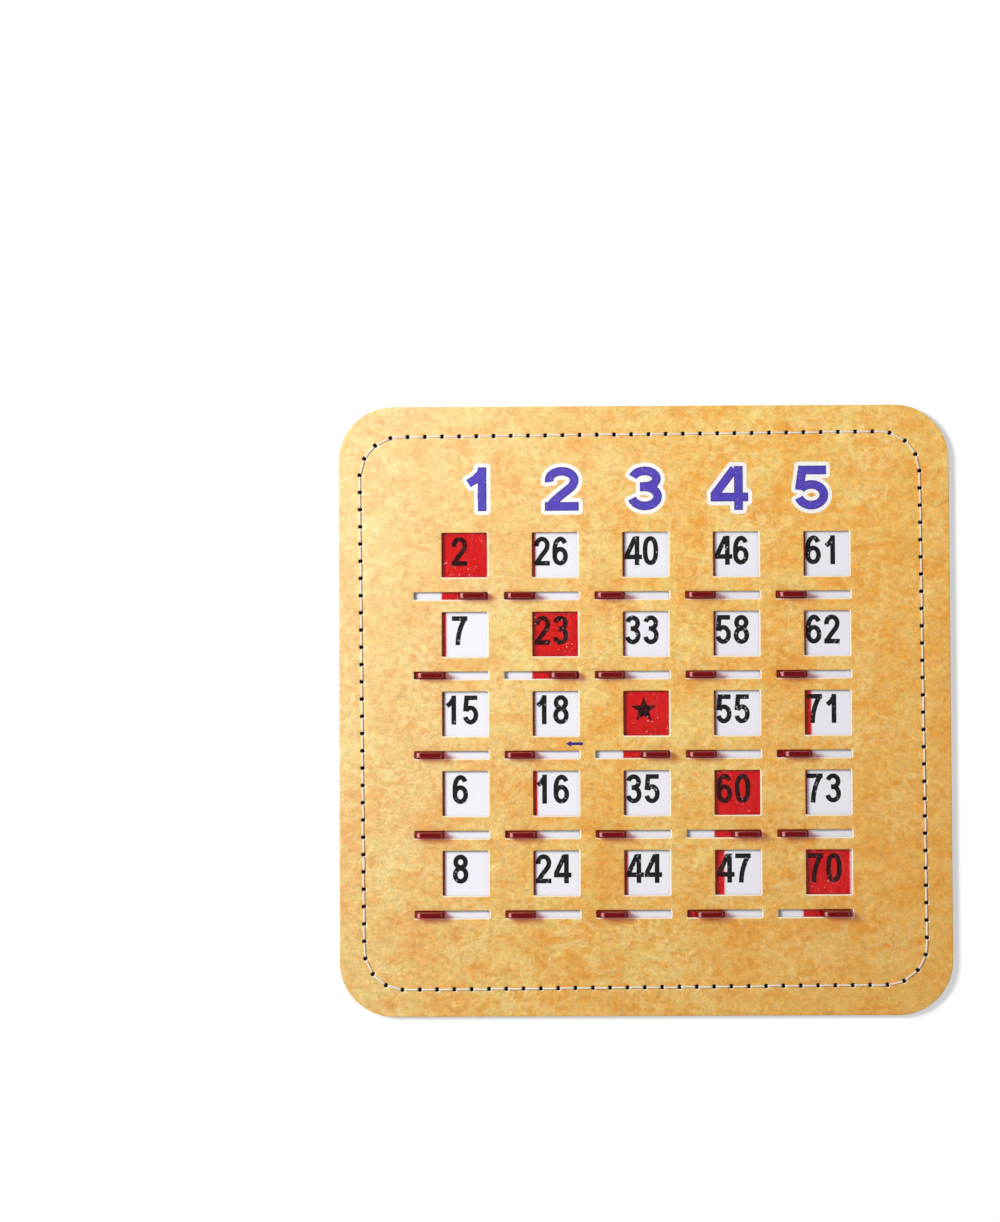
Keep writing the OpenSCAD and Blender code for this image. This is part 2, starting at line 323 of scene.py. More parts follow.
class Material:
    """A node material in the making: its Principled node, and short ways to add what feeds it."""

    def __init__(self, name, colour, roughness, **sockets):
        self.material = bpy.data.materials.new(name)
        self.material.use_nodes = True
        self.nodes, self.links = self.material.node_tree.nodes, self.material.node_tree.links
        self.shader = self.nodes["Principled BSDF"]
        self.output = self.nodes["Material Output"]
        self.shader.inputs["Base Color"].default_value = (*colour, 1)
        self.shader.inputs["Roughness"].default_value = roughness
        for socket, value in sockets.items():
            self.shader.inputs[socket.replace("_", " ")].default_value = value
        self.place = self.nodes.new("ShaderNodeTexCoord").outputs["Object"]

    def link(self, a, b):
        self.links.new(a, b)

    def split(self, vector):
        """A vector's X, Y and Z."""
        node = self.nodes.new("ShaderNodeSeparateXYZ")
        self.link(vector, node.inputs[0])
        return node.outputs

    def stretched(self, scale, turn=0.0):
        node = self.nodes.new("ShaderNodeMapping")
        node.inputs["Scale"].default_value = scale
        node.inputs["Rotation"].default_value = (0, 0, turn)
        self.link(self.place, node.inputs["Vector"])
        return node.outputs["Vector"]

    def noise(self, scale, detail=3.0, rough=0.5, distortion=0.0, vector=None):
        node = self.nodes.new("ShaderNodeTexNoise")
        for socket, value in (("Scale", scale), ("Detail", detail), ("Roughness", rough),
                              ("Distortion", distortion)):
            node.inputs[socket].default_value = value
        self.link(vector or self.place, node.inputs["Vector"])
        return node.outputs["Fac"]

    def voronoi(self, scale, feature="F1"):
        node = self.nodes.new("ShaderNodeTexVoronoi")
        node.feature = feature
        node.inputs["Scale"].default_value = scale
        self.link(self.place, node.inputs["Vector"])
        return node.outputs["Distance"]

    def shade(self, value, stops):
        """A value run through the stops, each a place from 0 to 1 and the level there."""
        node = self.nodes.new("ShaderNodeValToRGB")
        elements = node.color_ramp.elements
        while len(elements) < len(stops):
            elements.new(0.5)
        for element, (position, level) in zip(elements, stops):
            element.position = position
            element.color = (level, level, level, 1)
        self.link(value, node.inputs["Fac"])
        return node.outputs["Color"]

    def mix(self, factor, a, b, blend="MIX"):
        """Two colours mixed; 0, 6 and 7 are the node's factor and its two colours."""
        node = self.nodes.new("ShaderNodeMix")
        node.data_type = "RGBA"
        node.blend_type = blend
        for index, value in ((0, factor), (6, a), (7, b)):
            if isinstance(value, (int, float)):
                node.inputs[index].default_value = value
            elif isinstance(value, tuple):
                node.inputs[index].default_value = (*value, 1)
            else:
                self.link(value, node.inputs[index])
        return node.outputs[2]

    def math(self, operation, a, b=0.0):
        node = self.nodes.new("ShaderNodeMath")
        node.operation = operation
        for i, value in enumerate((a, b)):
            if isinstance(value, (int, float)):
                node.inputs[i].default_value = value
            else:
                self.link(value, node.inputs[i])
        return node.outputs[0]

    def scaled(self, value, by):
        """A noise's distance from its middle, times a contrast."""
        return self.math("MULTIPLY", self.math("SUBTRACT", value, 0.5), by)

    def matt(self, colour):
        node = self.nodes.new("ShaderNodeBsdfDiffuse")
        node.inputs["Color"].default_value = (*colour, 1)
        return node.outputs[0]

    def over(self, cover, under, upper):
        """A surface with another laid over it as far as cover goes."""
        node = self.nodes.new("ShaderNodeMixShader")
        for i, value in enumerate((cover, under, upper)):
            self.link(value, node.inputs[i])
        return node.outputs[0]

    def colour(self, value):
        self.link(value, self.shader.inputs["Base Color"])

    def roughness(self, value):
        self.link(value, self.shader.inputs["Roughness"])

    def bump(self, height, distance, strength):
        node = self.nodes.new("ShaderNodeBump")
        node.inputs["Distance"].default_value = distance
        node.inputs["Strength"].default_value = strength
        self.link(height, node.inputs["Height"])
        self.link(node.outputs["Normal"], self.shader.inputs["Normal"])


TAN, TAN_PALE, TAN_WISP = (0.755, 0.305, 0.012), (0.80, 0.55, 0.135), (0.88, 0.72, 0.30)
# The first two colours on the next line are painted glare, for the upper left, and painted shade, for the
# lower right
TAN_PAINTED_GLARE, TAN_PAINTED_SHADE, PAPER_CORE_AND_HIGHLIGHT = (0.86, 0.83, 0.58), (0.72, 0.27, 0.008), (0.95, 0.88, 0.74)
CLOUD_CONTRAST, FINE_CONTRAST = 5.2, 1.35


def leatherette_material(name="leatherette", worn=0.0):
    """Tan paper printed with the mottling of leather, and lightly grained. Painted glare makes it paler to
    the upper left and painted shade deeper to the lower right, and painted light lightens it upwards and to
    the right; worn lets its white core through."""
    m = Material(name, (0.76, 0.39, 0.04), 0.5, Specular_IOR_Level=0.75)
    cloud = m.noise(125, 7, 0.93, 0.3, m.stretched((0.84, 1.12, 1)))
    strokes = m.noise(1.0, 4, 0.7, 0.5, m.stretched((110, 330, 200), 0.5))
    uprights = m.noise(1.0, 3, 0.7, 0.4, m.stretched((420, 150, 200)))
    broad = m.noise(26, 2)
    pale = m.math("ADD", 0.5, m.scaled(cloud, CLOUD_CONTRAST))
    for value, share in ((strokes, 0.75), (uprights, 0.6), (broad, 0.4)):
        pale = m.math("ADD", pale, m.scaled(value, share))
    tan = m.mix(m.shade(pale, ((0.0, 0), (1.0, 1))), TAN, TAN_PALE)
    swirl = m.math("ABSOLUTE", m.math("SUBTRACT", m.noise(105, 4, 0.62, 1.3), 0.5))
    patches = m.shade(m.noise(50, 2), ((0.38, 0), (0.58, 1)))
    wisps = m.math("MULTIPLY", m.shade(swirl, ((0.0, 1), (0.07, 0))), patches)
    tan = m.mix(m.math("MULTIPLY", wisps, 0.5), tan, TAN_WISP)
    spot = m.split(m.place)
    # Painted glare: paler towards the upper left
    glare_side = m.math("SUBTRACT", m.math("MULTIPLY", spot["Y"], 3.5), m.math("MULTIPLY", spot["X"], 9.0))
    tan = m.mix(m.shade(glare_side, ((0.1, 0), (1.0, 0.22))), tan, TAN_PAINTED_GLARE)
    # Painted shade: deeper and more orange towards the lower right
    shade_side = m.math("MULTIPLY", glare_side, -1.0)
    tan = m.mix(m.shade(shade_side, ((0.1, 0), (0.95, 0.36))), tan, TAN_PAINTED_SHADE)
    fine_grain_and_painted_light = m.math("ADD", 0.985, m.scaled(m.noise(600, 5, 0.92), FINE_CONTRAST))
    # Painted light: the fine grain's tone is lighter upwards and a little to the right
    fine_grain_and_painted_light = m.math("ADD", fine_grain_and_painted_light, m.math("MULTIPLY", spot["Y"], 0.8))
    fine_grain_and_painted_light = m.math("ADD", fine_grain_and_painted_light, m.math("MULTIPLY", spot["X"], 0.4))
    tan = m.mix(1.0, tan, fine_grain_and_painted_light, "MULTIPLY")
    # The white core, which on the lit sides of cuts and holes is also painted highlight
    m.colour(m.mix(worn, tan, PAPER_CORE_AND_HIGHLIGHT) if worn else tan)
    grain = m.voronoi(720, "DISTANCE_TO_EDGE")
    pores = m.noise(1500, 4, 0.6)
    height = m.math("ADD", m.shade(grain, ((0.0, 0), (0.25, 1))), m.math("MULTIPLY", pores, 0.7))
    m.roughness(m.shade(m.noise(300, 3), ((0.3, 0.46), (0.7, 0.56))))
    m.bump(height, 0.00002, 0.45)
    return m.material


def board_material(name, light, dark):
    """Grey-white pulp board: pressed layers along its edges, and short fibres on its faces."""
    m = Material(name, light, 0.86, Specular_IOR_Level=0.25)
    layers = m.noise(1.0, 4, 0.6, 0.0, m.stretched((260, 260, 3800)))
    fibres = m.noise(1.0, 5, 0.7, 1.5, m.stretched((900, 520, 900)))
    flecks = m.shade(m.voronoi(420), ((0.03, 1), (0.09, 0)))
    tone = m.mix(m.shade(layers, ((0.3, 0), (0.7, 1))), dark, light)
    tone = m.mix(m.math("MULTIPLY", m.shade(fibres, ((0.4, 0), (0.7, 1))), 0.35), tone, light)
    m.colour(m.mix(m.math("MULTIPLY", flecks, 0.3), tone, (0.36, 0.33, 0.29)))
    m.bump(m.math("ADD", layers, fibres), 0.00006, 0.6)
    return m.material


def paper_material(name, colour):
    """Paper: short fibres, a little darker and warmer between them."""
    m = Material(name, colour, 0.72, Specular_IOR_Level=0.35)
    fibres = m.noise(1.0, 5, 0.7, 0.8, m.stretched((1500, 900, 1500)))
    warm = tuple(c * f for c, f in zip(colour, (0.955, 0.95, 0.945)))
    m.colour(m.mix(m.shade(fibres, ((0.35, 0), (0.7, 1))), warm, colour))
    m.bump(fibres, 0.00001, 0.4)
    return m.material


def ink_material(name, colour, worn, roughness=0.42, amount=0.5, shine=0.3):
    """Printed ink: a little uneven, with fine specks where it didn't take."""
    m = Material(name, colour, roughness, Specular_IOR_Level=shine)
    cloud = m.shade(m.noise(900, 4, 0.6), ((0.35, 0), (0.7, 1)))
    pinholes = m.shade(m.voronoi(850), ((0.12, 1), (0.27, 0)))
    few = m.shade(m.noise(420, 3, 0.6), ((0.46, 0), (0.54, 1)))
    tone = m.mix(m.math("MULTIPLY", cloud, amount * 0.5), colour, tuple(c * 1.6 + 0.02 for c in colour))
    m.colour(m.mix(m.math("MULTIPLY", m.math("MULTIPLY", pinholes, few), amount), tone, worn))
    m.bump(m.noise(1400, 3), 0.00001, 0.4)
    return m.material


# Heights over the card's back in centimetres: the plates' dust ends, the tabs' deep red and their painted
# corner highlights start, and a painted highlight line runs round the tabs' tops
PLATE_BELOW, TAB_FROM, CORNER_HIGHLIGHT_FROM = 0.19, 0.21, 0.7
TAB_HIGHLIGHT_LINE = ((0.713, 0), (0.718, 1), (0.725, 1), (0.73, 0))
# Colours of the dust and the tabs' painted highlights, of the tabs' body, of light after its way through, and
# of the shadow
DUST_AND_HIGHLIGHT_RED, TAB_RED = (0.92, 0.46, 0.47), (0.3, 0.003, 0.005)
PLASTIC_RED, SHADOW_TINT = (0.94, 0.03, 0.03), (0.75, 0.7, 0.7)
PLASTIC_DENSITY = 5000.0


def shutter_material():
    """Clear red moulded plastic, glossy: dust on the plates, and tabs with a deep red body, a painted
    highlight line round the top and a painted highlight on the left corner."""
    m = Material("shutter_plastic", (0.74, 0.9, 0.9), 0.06, IOR=1.26, Transmission_Weight=1.0,
                 Specular_IOR_Level=0.5)
    m.roughness(m.shade(m.noise(240, 4, 0.65), ((0.4, 0.04), (0.75, 0.12))))
    m.bump(m.noise(420, 3, 0.5), 0.000012, 0.5)
    height = m.math("MULTIPLY", m.split(m.place)["Z"], 100.0)
    on_plate = m.math("LESS_THAN", height, PLATE_BELOW)
    # Painted highlight: a pale line round the tops of the tabs
    line = m.shade(height, TAB_HIGHLIGHT_LINE)
    specks = m.shade(m.voronoi(760), ((0.12, 1), (0.2, 0)))
    patches = m.shade(m.noise(110, 3, 0.6), ((0.45, 0.0), (0.62, 1)))
    haze = m.shade(m.noise(1.0, 4, 0.7, 0.6, m.stretched((900, 130, 500), 0.12)), ((0.56, 0), (0.75, 0.09)))
    cover = m.math("ADD", m.math("MULTIPLY", m.math("MULTIPLY", specks, patches), 0.85), haze)
    cover = m.math("MULTIPLY", cover, on_plate)
    scuffs = m.shade(m.noise(900, 3, 0.7), ((0.35, 0.5), (0.65, 1)))
    cover = m.math("ADD", cover, m.math("MULTIPLY", m.math("MULTIPLY", line, scuffs), 0.34))
    # Painted highlight on the tabs' rounded left corners, where the surface leans left
    facing = m.split(m.nodes.new("ShaderNodeNewGeometry").outputs["Normal"])
    corner = m.shade(m.math("MULTIPLY", facing["X"], -1.0), ((0.03, 0), (0.08, 1), (0.3, 1), (0.45, 0)))
    corner = m.math("MULTIPLY", corner, m.math("GREATER_THAN", facing["Z"], 0.85))
    corner = m.math("MULTIPLY", corner, m.math("GREATER_THAN", height, CORNER_HIGHLIGHT_FROM))
    cover = m.math("ADD", cover, m.math("MULTIPLY", corner, 0.6))
    in_tab = m.math("MULTIPLY", m.math("GREATER_THAN", height, TAB_FROM), 0.5)
    body = m.over(in_tab, m.shader.outputs[0], m.matt(TAB_RED))
    # Dust on the plates, and the painted highlights on the tabs
    dust_and_highlight = m.over(cover, body, m.matt(DUST_AND_HIGHLIGHT_RED))
    through = m.nodes.new("ShaderNodeBsdfTransparent")
    through.inputs["Color"].default_value = (*SHADOW_TINT, 1)
    path = m.nodes.new("ShaderNodeLightPath")
    shadow = m.over(path.outputs["Is Shadow Ray"], dust_and_highlight, through.outputs[0])
    m.link(shadow, m.output.inputs["Surface"])
    volume = m.nodes.new("ShaderNodeVolumeAbsorption")
    volume.inputs["Color"].default_value = (*PLASTIC_RED, 1)
    volume.inputs["Density"].default_value = PLASTIC_DENSITY
    m.link(volume.outputs[0], m.output.inputs["Volume"])
    return m.material


def thread_material():
    m = Material("thread", (0.86, 0.82, 0.74), 0.78, Specular_IOR_Level=0.3, Sheen_Weight=0.25,
                 Sheen_Roughness=0.4)
    fibre = m.noise(1.0, 4, 0.7, 0.0, m.stretched((5200, 5200, 5200)))
    m.colour(m.mix(m.shade(fibre, ((0.3, 0), (0.7, 1))), (0.74, 0.69, 0.6), (0.92, 0.89, 0.83)))
    m.bump(fibre, 0.00003, 0.7)
    return m.material


LEATHERETTE = leatherette_material()
# Leatherette showing its white core, which on the sides of cuts and holes that face the light is also painted
# highlight
CORE_AND_HIGHLIGHT_EDGE = leatherette_material("core_and_highlight_edge", 0.8)
BOARD = board_material("board", (0.62, 0.605, 0.575), (0.44, 0.425, 0.395))
SPACER_BOARD = board_material("spacer_board", (0.55, 0.53, 0.49), (0.38, 0.365, 0.335))
PAPER = paper_material("number_paper", (0.86, 0.85, 0.91))
PAPER_EDGE = paper_material("paper_edge", (0.9, 0.84, 0.72))
PURPLE = ink_material("purple_ink", (0.078, 0.05, 0.43), (0.5, 0.4, 0.6), 0.45, 0.35, 0.25)
PURPLE_EDGE = ink_material("purple_edge_ink", (0.04, 0.018, 0.15), (0.4, 0.3, 0.4), 0.45, 0.2, 0.2)
WHITE_INK = ink_material("white_ink", (0.88, 0.87, 0.84), (0.9, 0.8, 0.6), 0.45, 0.3, 0.5)
BLACK_INK = ink_material("black_ink", (0.009, 0.009, 0.01), (0.5, 0.48, 0.5), 0.6, 0.85, 0.06)
SHUTTER = shutter_material()
# Near black: painted shade for the deep, narrow needle holes
HOLE_SHADE = Material("punctured_fibre", (0.03, 0.016, 0.009), 0.9, Specular_IOR_Level=0.1).material
THREAD = thread_material()

# The boards, strips and number sheet are shown by the frame's own solids
for name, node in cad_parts.items():
    if name in ("back_board", "front_board"):
        chosen = BOARD
    elif name == "number_sheet":
        chosen = PAPER
    elif name.startswith(("spacer_", "rib_")):
        chosen = SPACER_BOARD
    else:
        continue
    for material_slot in node.material_slots:
        material_slot.material = chosen

# The printed and grained facing

HEADING_X = [-51.1, -25.4, 0.5, 26.2, 52.2]
HEADING_Y, HEADING_H, HEADING_W, HEADING_STROKE = 68.9, 13.7, 10.6, 2.75
HEADING_OUTLINE, HEADING_EDGE = 1.2, 0.22
INK_PURPLE, INK_EDGE, INK_WHITE, INK_CUT, INK_CORE_AND_HIGHLIGHT, INK_HOLE_SHADE = 1, 2, 3, 4, 5, 6
NARROW_1 = 0.92  # width of the heading's 1, as a share of the other digits' width

# How far the paper's white core shows along the right and lower edges of a cut and round a needle hole's
# lower right, the sides facing the light, where it is also painted highlight
CORE_AND_HIGHLIGHT_W = 0.36
TORN_AND_HIGHLIGHT_W, HIGHLIGHT_SIDE = 0.2, 0.35

purple, edge_line, white = [], [], []
for i, x in enumerate(HEADING_X):
    digit = str(i + 1)
    w = HEADING_W if digit != "1" else HEADING_W * NARROW_1
    pieces = numeral(digit, x - w / 2, HEADING_Y - HEADING_H / 2, w, HEADING_H, HEADING_STROKE)
    edge_line += pieces
    white += [grown(p, HEADING_OUTLINE) for p in pieces]
    thin = HEADING_STROKE - 2 * HEADING_EDGE
    for path, end0, end1 in NUMERALS[digit]:
        placed = [(x - w / 2 + HEADING_STROKE / 2 + u * (w - HEADING_STROKE),
                   HEADING_Y - HEADING_H / 2 + HEADING_STROKE / 2 + v * (HEADING_H - HEADING_STROKE))
                  for u, v in path]
        purple += stroke_pieces(placed, thin, end0, end1)

ARROW_LEFT, ARROW_RIGHT, ARROW_Y = -24.6, -19.2, -10.4
HEAD_RIGHT, HEAD_HALF = ARROW_LEFT + 1.75, 0.95
SHAFT_LEFT, SHAFT_HALF = ARROW_LEFT + 1.6, 0.45
edge_line += [
    [(ARROW_LEFT, ARROW_Y), (HEAD_RIGHT, ARROW_Y - HEAD_HALF), (HEAD_RIGHT, ARROW_Y + HEAD_HALF)],
    [(SHAFT_LEFT, ARROW_Y - SHAFT_HALF), (ARROW_RIGHT, ARROW_Y - SHAFT_HALF),
     (ARROW_RIGHT, ARROW_Y + SHAFT_HALF), (SHAFT_LEFT, ARROW_Y + SHAFT_HALF)],
]

CUTS = [(WINDOWS, WINDOW_W, WINDOW_H, WINDOW_R), (SLOTS, SLOT_W, SLOT_H, SLOT_R)]


def rect_distance(x, y, w, h, r):
    """How far points lie outside a round-cornered rectangle round the origin; negative inside."""
    qx, qy = np.abs(x) - (w / 2 - r), np.abs(y) - (h / 2 - r)
    return np.hypot(np.maximum(qx, 0), np.maximum(qy, 0)) + np.minimum(np.maximum(qx, qy), 0) - r


def cut_distance(x, y):
    """How far points lie from the nearest window or slot."""
    best = np.full(len(x), 1e9)
    for places, w, h, r in CUTS:
        for px, py in places:
            best = np.minimum(best, rect_distance(x - px, y - py, w, h, r))
    return best


def hole_distance(x, y):
    """How far points lie from the middle of the nearest needle hole."""
    best = np.full(len(x), 1e9)
    for hx, hy in HOLES:
        best = np.minimum(best, np.hypot(x - hx, y - hy))
    return best


# How wide and how deep the face goes down at its cuts, its edge, its seam, its needle holes and wrinkles
PUNCTURE_R, PUNCTURE_POINTS, PUNCTURE_UNEVEN = 0.71, 18, (0.01, 0.035)
ROLL_W, ROLL_DEEP = 0.46, 0.16
EDGE_ROLL_W, EDGE_ROLL_DEEP = 0.38, 0.17
SEAM_W, SEAM_DEEP = 1.3, 0.05
DIMPLE_W, DIMPLE_DEEP = 0.55, 0.09
WRINKLE_X, WRINKLE_Y, WRINKLE_DEEP = 0.42, 0.36, 0.012
LEAST_T = 0.015


def stitch_distance(x, y):
    """How far points lie from the stitch line."""
    c, n = math.cos(STITCH_TURN), math.sin(STITCH_TURN)
    u, v = (x + STITCH_LEFT) * c + y * n, y * c - (x + STITCH_LEFT) * n
    w, h = CARD_W - 2 * STITCH_SIDE_INSET, CARD_H - 2 * STITCH_INSET
    return np.abs(rect_distance(u, v, w, h, STITCH_R))


def facing_height(x, y):
    """The face's height: pressed down along every cut, drawn in along the stitches, and faintly wrinkled."""
    cut = cut_distance(x, y)
    edge = -rect_distance(x, y, CARD_W, CARD_H, CARD_R)
    hole = hole_distance(x, y) - PUNCTURE_R
    line = stitch_distance(x, y)
    z = np.full(len(x), FACE_Z)
    z -= ROLL_DEEP * (1 - np.sqrt(1 - np.clip(1 - cut / ROLL_W, 0, 1) ** 2))
    z -= EDGE_ROLL_DEEP * (1 - np.sqrt(1 - np.clip(1 - edge / EDGE_ROLL_W, 0, 1) ** 2))
    z -= SEAM_DEEP * np.exp(-(line / SEAM_W) ** 2)
    z -= DIMPLE_DEEP * np.exp(-(np.maximum(hole, 0) / DIMPLE_W) ** 2)
    wrinkle = np.array([noise.fractal(Vector((a * WRINKLE_X, b * WRINKLE_Y, 0.0)), 0.9, 2.1, 4)
                        for a, b in zip(x, y)])
    z -= WRINKLE_DEEP * np.clip(wrinkle + 0.5, 0, 2)
    return np.clip(z, FACING_BOTTOM_Z + LEAST_T, FACE_Z)


# The face's mesh: rings of points round each cut, each hole and along the edge, and a grid between them
# that keeps off the rings by nearly half its spacing
GRID = 0.85
GRID_UNEVEN, GRID_ROW = 0.18, 0.866
CUT_RINGS = (0.04, 0.13, 0.27, ROLL_W)
HOLE_RINGS = (0.14, 0.32, 0.6)
EDGE_RINGS = (0.05, 0.14, 0.26, EDGE_ROLL_W, 0.7)
HOLE_RING_POINTS, CUT_CLEAR, RIM_CLEAR = 14, 0.1, 0.03
generator = np.random.default_rng(7)
outline = rounded_rect(CARD_W, CARD_H, CARD_R, step=0.9, arc=28)
holes = [rounded_rect(w, h, r, px, py, 0.8, 4) for places, w, h, r in CUTS for px, py in places]
for hx, hy in HOLES:
    wobble = generator.uniform(*PUNCTURE_UNEVEN, 3), generator.uniform(0, 2 * math.pi, 3)
    torn = []
    for i in range(PUNCTURE_POINTS):
        a = 2 * math.pi * i / PUNCTURE_POINTS
        r = PUNCTURE_R * (1 + sum(wobble[0][k] * math.cos((k + 2) * a + wobble[1][k]) for k in range(3)))
        torn.append((hx + r * math.cos(a), hy + r * math.sin(a)))
    holes.append(torn)
rings = []
for places, w, h, r in CUTS:
    for px, py in places:
        for d in CUT_RINGS:
            rings += rounded_rect(w + 2 * d, h + 2 * d, r + d, px, py, 0.8, 3)
for hx, hy in HOLES:
    for d in HOLE_RINGS:
        rings += circle(hx, hy, PUNCTURE_R + d, HOLE_RING_POINTS)
for d in EDGE_RINGS:
    rings += rounded_rect(CARD_W - 2 * d, CARD_H - 2 * d, CARD_R - d, step=0.9, arc=28)
rings = np.array(rings)
gx, gy = np.meshgrid(np.arange(-CARD_W / 2, CARD_W / 2, GRID),
                     np.arange(-CARD_H / 2, CARD_H / 2, GRID * GRID_ROW))
gx = gx + (np.arange(len(gx)) % 2)[:, None] * GRID / 2
grid = np.c_[gx.ravel(), gy.ravel()] + generator.uniform(-GRID_UNEVEN, GRID_UNEVEN, (gx.size, 2)) * GRID
clear = cut_distance(grid[:, 0], grid[:, 1]) > ROLL_W + CUT_CLEAR + 0.45 * GRID
clear &= hole_distance(grid[:, 0], grid[:, 1]) > PUNCTURE_R + HOLE_RINGS[-1] + 0.4 * GRID
clear &= -rect_distance(grid[:, 0], grid[:, 1], CARD_W, CARD_H, CARD_R) > EDGE_RINGS[-1] + 0.4 * GRID
ring_ok = -rect_distance(rings[:, 0], rings[:, 1], CARD_W, CARD_H, CARD_R) > RIM_CLEAR
free = [tuple(p) for p in np.vstack([rings[ring_ok], grid[clear]])]

xy, tris, inks, loops = cut_sheet(
    outline, holes, [(INK_PURPLE, purple), (INK_EDGE, edge_line), (INK_WHITE, white)], free)
middles = xy[np.array(tris)].mean(1)
# The paper's white core round cuts and holes, kept to the sides that face the light as painted highlight
worn = np.zeros(len(tris), bool)
for places, w, h, r in CUTS:
    for px, py in places:
        du, dv = middles[:, 0] - px, middles[:, 1] - py
        near = rect_distance(du, dv, w, h, r) < CORE_AND_HIGHLIGHT_W
        worn |= near & ((du > w / 2 - r / 2) | (dv < -h / 2 + r / 2))
for hx, hy in HOLES:
    du, dv = middles[:, 0] - hx, middles[:, 1] - hy
    worn |= (np.hypot(du, dv) < PUNCTURE_R + TORN_AND_HIGHLIGHT_W) & (du - dv > HIGHLIGHT_SIDE)
inks = [INK_CORE_AND_HIGHLIGHT if w else ink for ink, w in zip(inks, worn)]
top = facing_height(xy[:, 0], xy[:, 1])
# The needle holes' walls carry painted shade
wall_inks = [0] + [INK_CUT] * (2 * len(WINDOWS)) + [INK_HOLE_SHADE] * len(HOLES)
facing = sheet_solid("facing_skin", xy, tris, inks, loops, top, FACING_BOTTOM_Z,
                     [LEATHERETTE, PURPLE, PURPLE_EDGE, WHITE_INK, PAPER_EDGE, CORE_AND_HIGHLIGHT_EDGE, HOLE_SHADE],
                     wall_inks)
add_piece(facing, "card", "leatherette", "front_facing")

# Dark cups lining each needle hole: painted shade in the deep, narrow holes
CUP_BOTTOM, CUP_FLOOR, CUP_TOP = 1.22, 1.25, 2.69
CUP_OUT_R, CUP_IN_R, CUP_SIDES = 0.79, 0.7, 14
verts, faces = [], []
for hx, hy in HOLES:
    base = len(verts)
    for r, z in ((CUP_OUT_R, CUP_BOTTOM), (CUP_OUT_R, CUP_TOP), (CUP_IN_R, CUP_TOP), (CUP_IN_R, CUP_FLOOR)):
        verts += [(px, py, z) for px, py in circle(hx, hy, r, CUP_SIDES)]
    for level in range(3):
        for k in range(CUP_SIDES):
            a, b = base + level * CUP_SIDES + k, base + level * CUP_SIDES + (k + 1) % CUP_SIDES
            faces.append((a, b, b + CUP_SIDES, a + CUP_SIDES))
    faces.append(tuple(base + k for k in reversed(range(CUP_SIDES))))
    faces.append(tuple(base + 3 * CUP_SIDES + k for k in range(CUP_SIDES)))
add_piece(new_mesh("needle_punctures", verts, faces, [HOLE_SHADE]), "card", "board")

# The printed numbers

NUMBERS = [
    ["2", "26", "40", "46", "61"],
    ["7", "23", "33", "58", "62"],
    ["15", "18", "", "55", "71"],
    ["6", "16", "35", "60", "73"],
    ["8", "24", "44", "47", "70"],
]
DIGIT_W, DIGIT_H, DIGIT_STROKE, DIGIT_STEP = 4.85, 9.05, 1.48, 5.65
NUMBER_RIGHT, SINGLE_RIGHT, NUMBER_UP = -1.15, -1.6, 1.2
INK_T, INK_GAP = 0.012, 0.003
STAR_LEFT, STAR_DOWN, STAR_OUT_R, STAR_IN_R = 0.7, 0.2, 4.2, 1.75


def star(cx, cy, outer, inner):
    """A plain five-pointed star as convex pieces."""
    def point(r, fifths):
        a = 2 * math.pi * fifths / 5
        return cx + r * math.sin(a), cy + r * math.cos(a)

    tips = [point(outer, i) for i in range(5)]
    notches = [point(inner, i + 0.5) for i in range(5)]
    return [[tips[i], notches[i - 1], notches[i]] for i in range(5)] + [notches[::-1]]


verts, faces = [], []
for row, line in enumerate(NUMBERS):
    for column, text in enumerate(line):
        cx, cy = COLUMN_X[column], ROW_Y[row] + NUMBER_UP
        if text:
            width = DIGIT_STEP * (len(text) - 1) + DIGIT_W
            x = cx + (NUMBER_RIGHT if len(text) > 1 else SINGLE_RIGHT) - width / 2
            groups = [numeral(d, x + i * DIGIT_STEP, cy - DIGIT_H / 2, DIGIT_W, DIGIT_H, DIGIT_STROKE)
                      for i, d in enumerate(text)]
        else:
            groups = [star(cx - STAR_LEFT, cy - STAR_DOWN, STAR_OUT_R, STAR_IN_R)]
        for pieces in groups:
            low = np.array([p for piece in pieces for p in piece]).min(0) - 1
            high = np.array([p for piece in pieces for p in piece]).max(0) + 1
            around = [(low[0], low[1]), (high[0], low[1]), (high[0], high[1]), (low[0], high[1])]
            ink_xy, ink_tris, ink_kinds, _ = cut_sheet(around, [], [(1, pieces)])
            ink_tris = [t for t, kind in zip(ink_tris, ink_kinds) if kind]
            used = sorted({i for t in ink_tris for i in t})
            new = {old: i for i, old in enumerate(used)}
            count = len(used)
            base = len(verts)
            shape = ink_xy[used]
            verts += [(px, py, SHEET_Z + INK_GAP + INK_T) for px, py in shape]
            verts += [(px, py, SHEET_Z + INK_GAP) for px, py in shape]
            ways = set()
            for t in ink_tris:
                a, b, c = (new[i] for i in t)
                faces += [(base + a, base + b, base + c),
                          (base + count + c, base + count + b, base + count + a)]
                ways |= {(a, b), (b, c), (c, a)}
            faces += [(base + b, base + a, base + count + a, base + count + b)
                      for a, b in ways if (b, a) not in ways]
numbers = new_mesh("printed_numbers", verts, faces, [BLACK_INK])
add_piece(numbers, "card", "number_paper")


# Shutters

PLATE_W, PLATE_H, PLATE_R, PLATE_Z, PLATE_TOP = 14.4, 22.15, 0.7, 1.25, 1.75
PLATE_BEVEL = 0.05
SLOT_UP = 1.775  # middle of a slot, above the lower edge of its plate
TAB_W, TAB_TOP, TAB_FOOT_HALF, TAB_TOP_HALF = 9.2, 7.4, 1.025, 0.875
TAB_CORNER_R, TAB_EDGE_R, TAB_CROWN_R, TAB_END_GAP = 1.5, 0.35, 3.2, 0.09
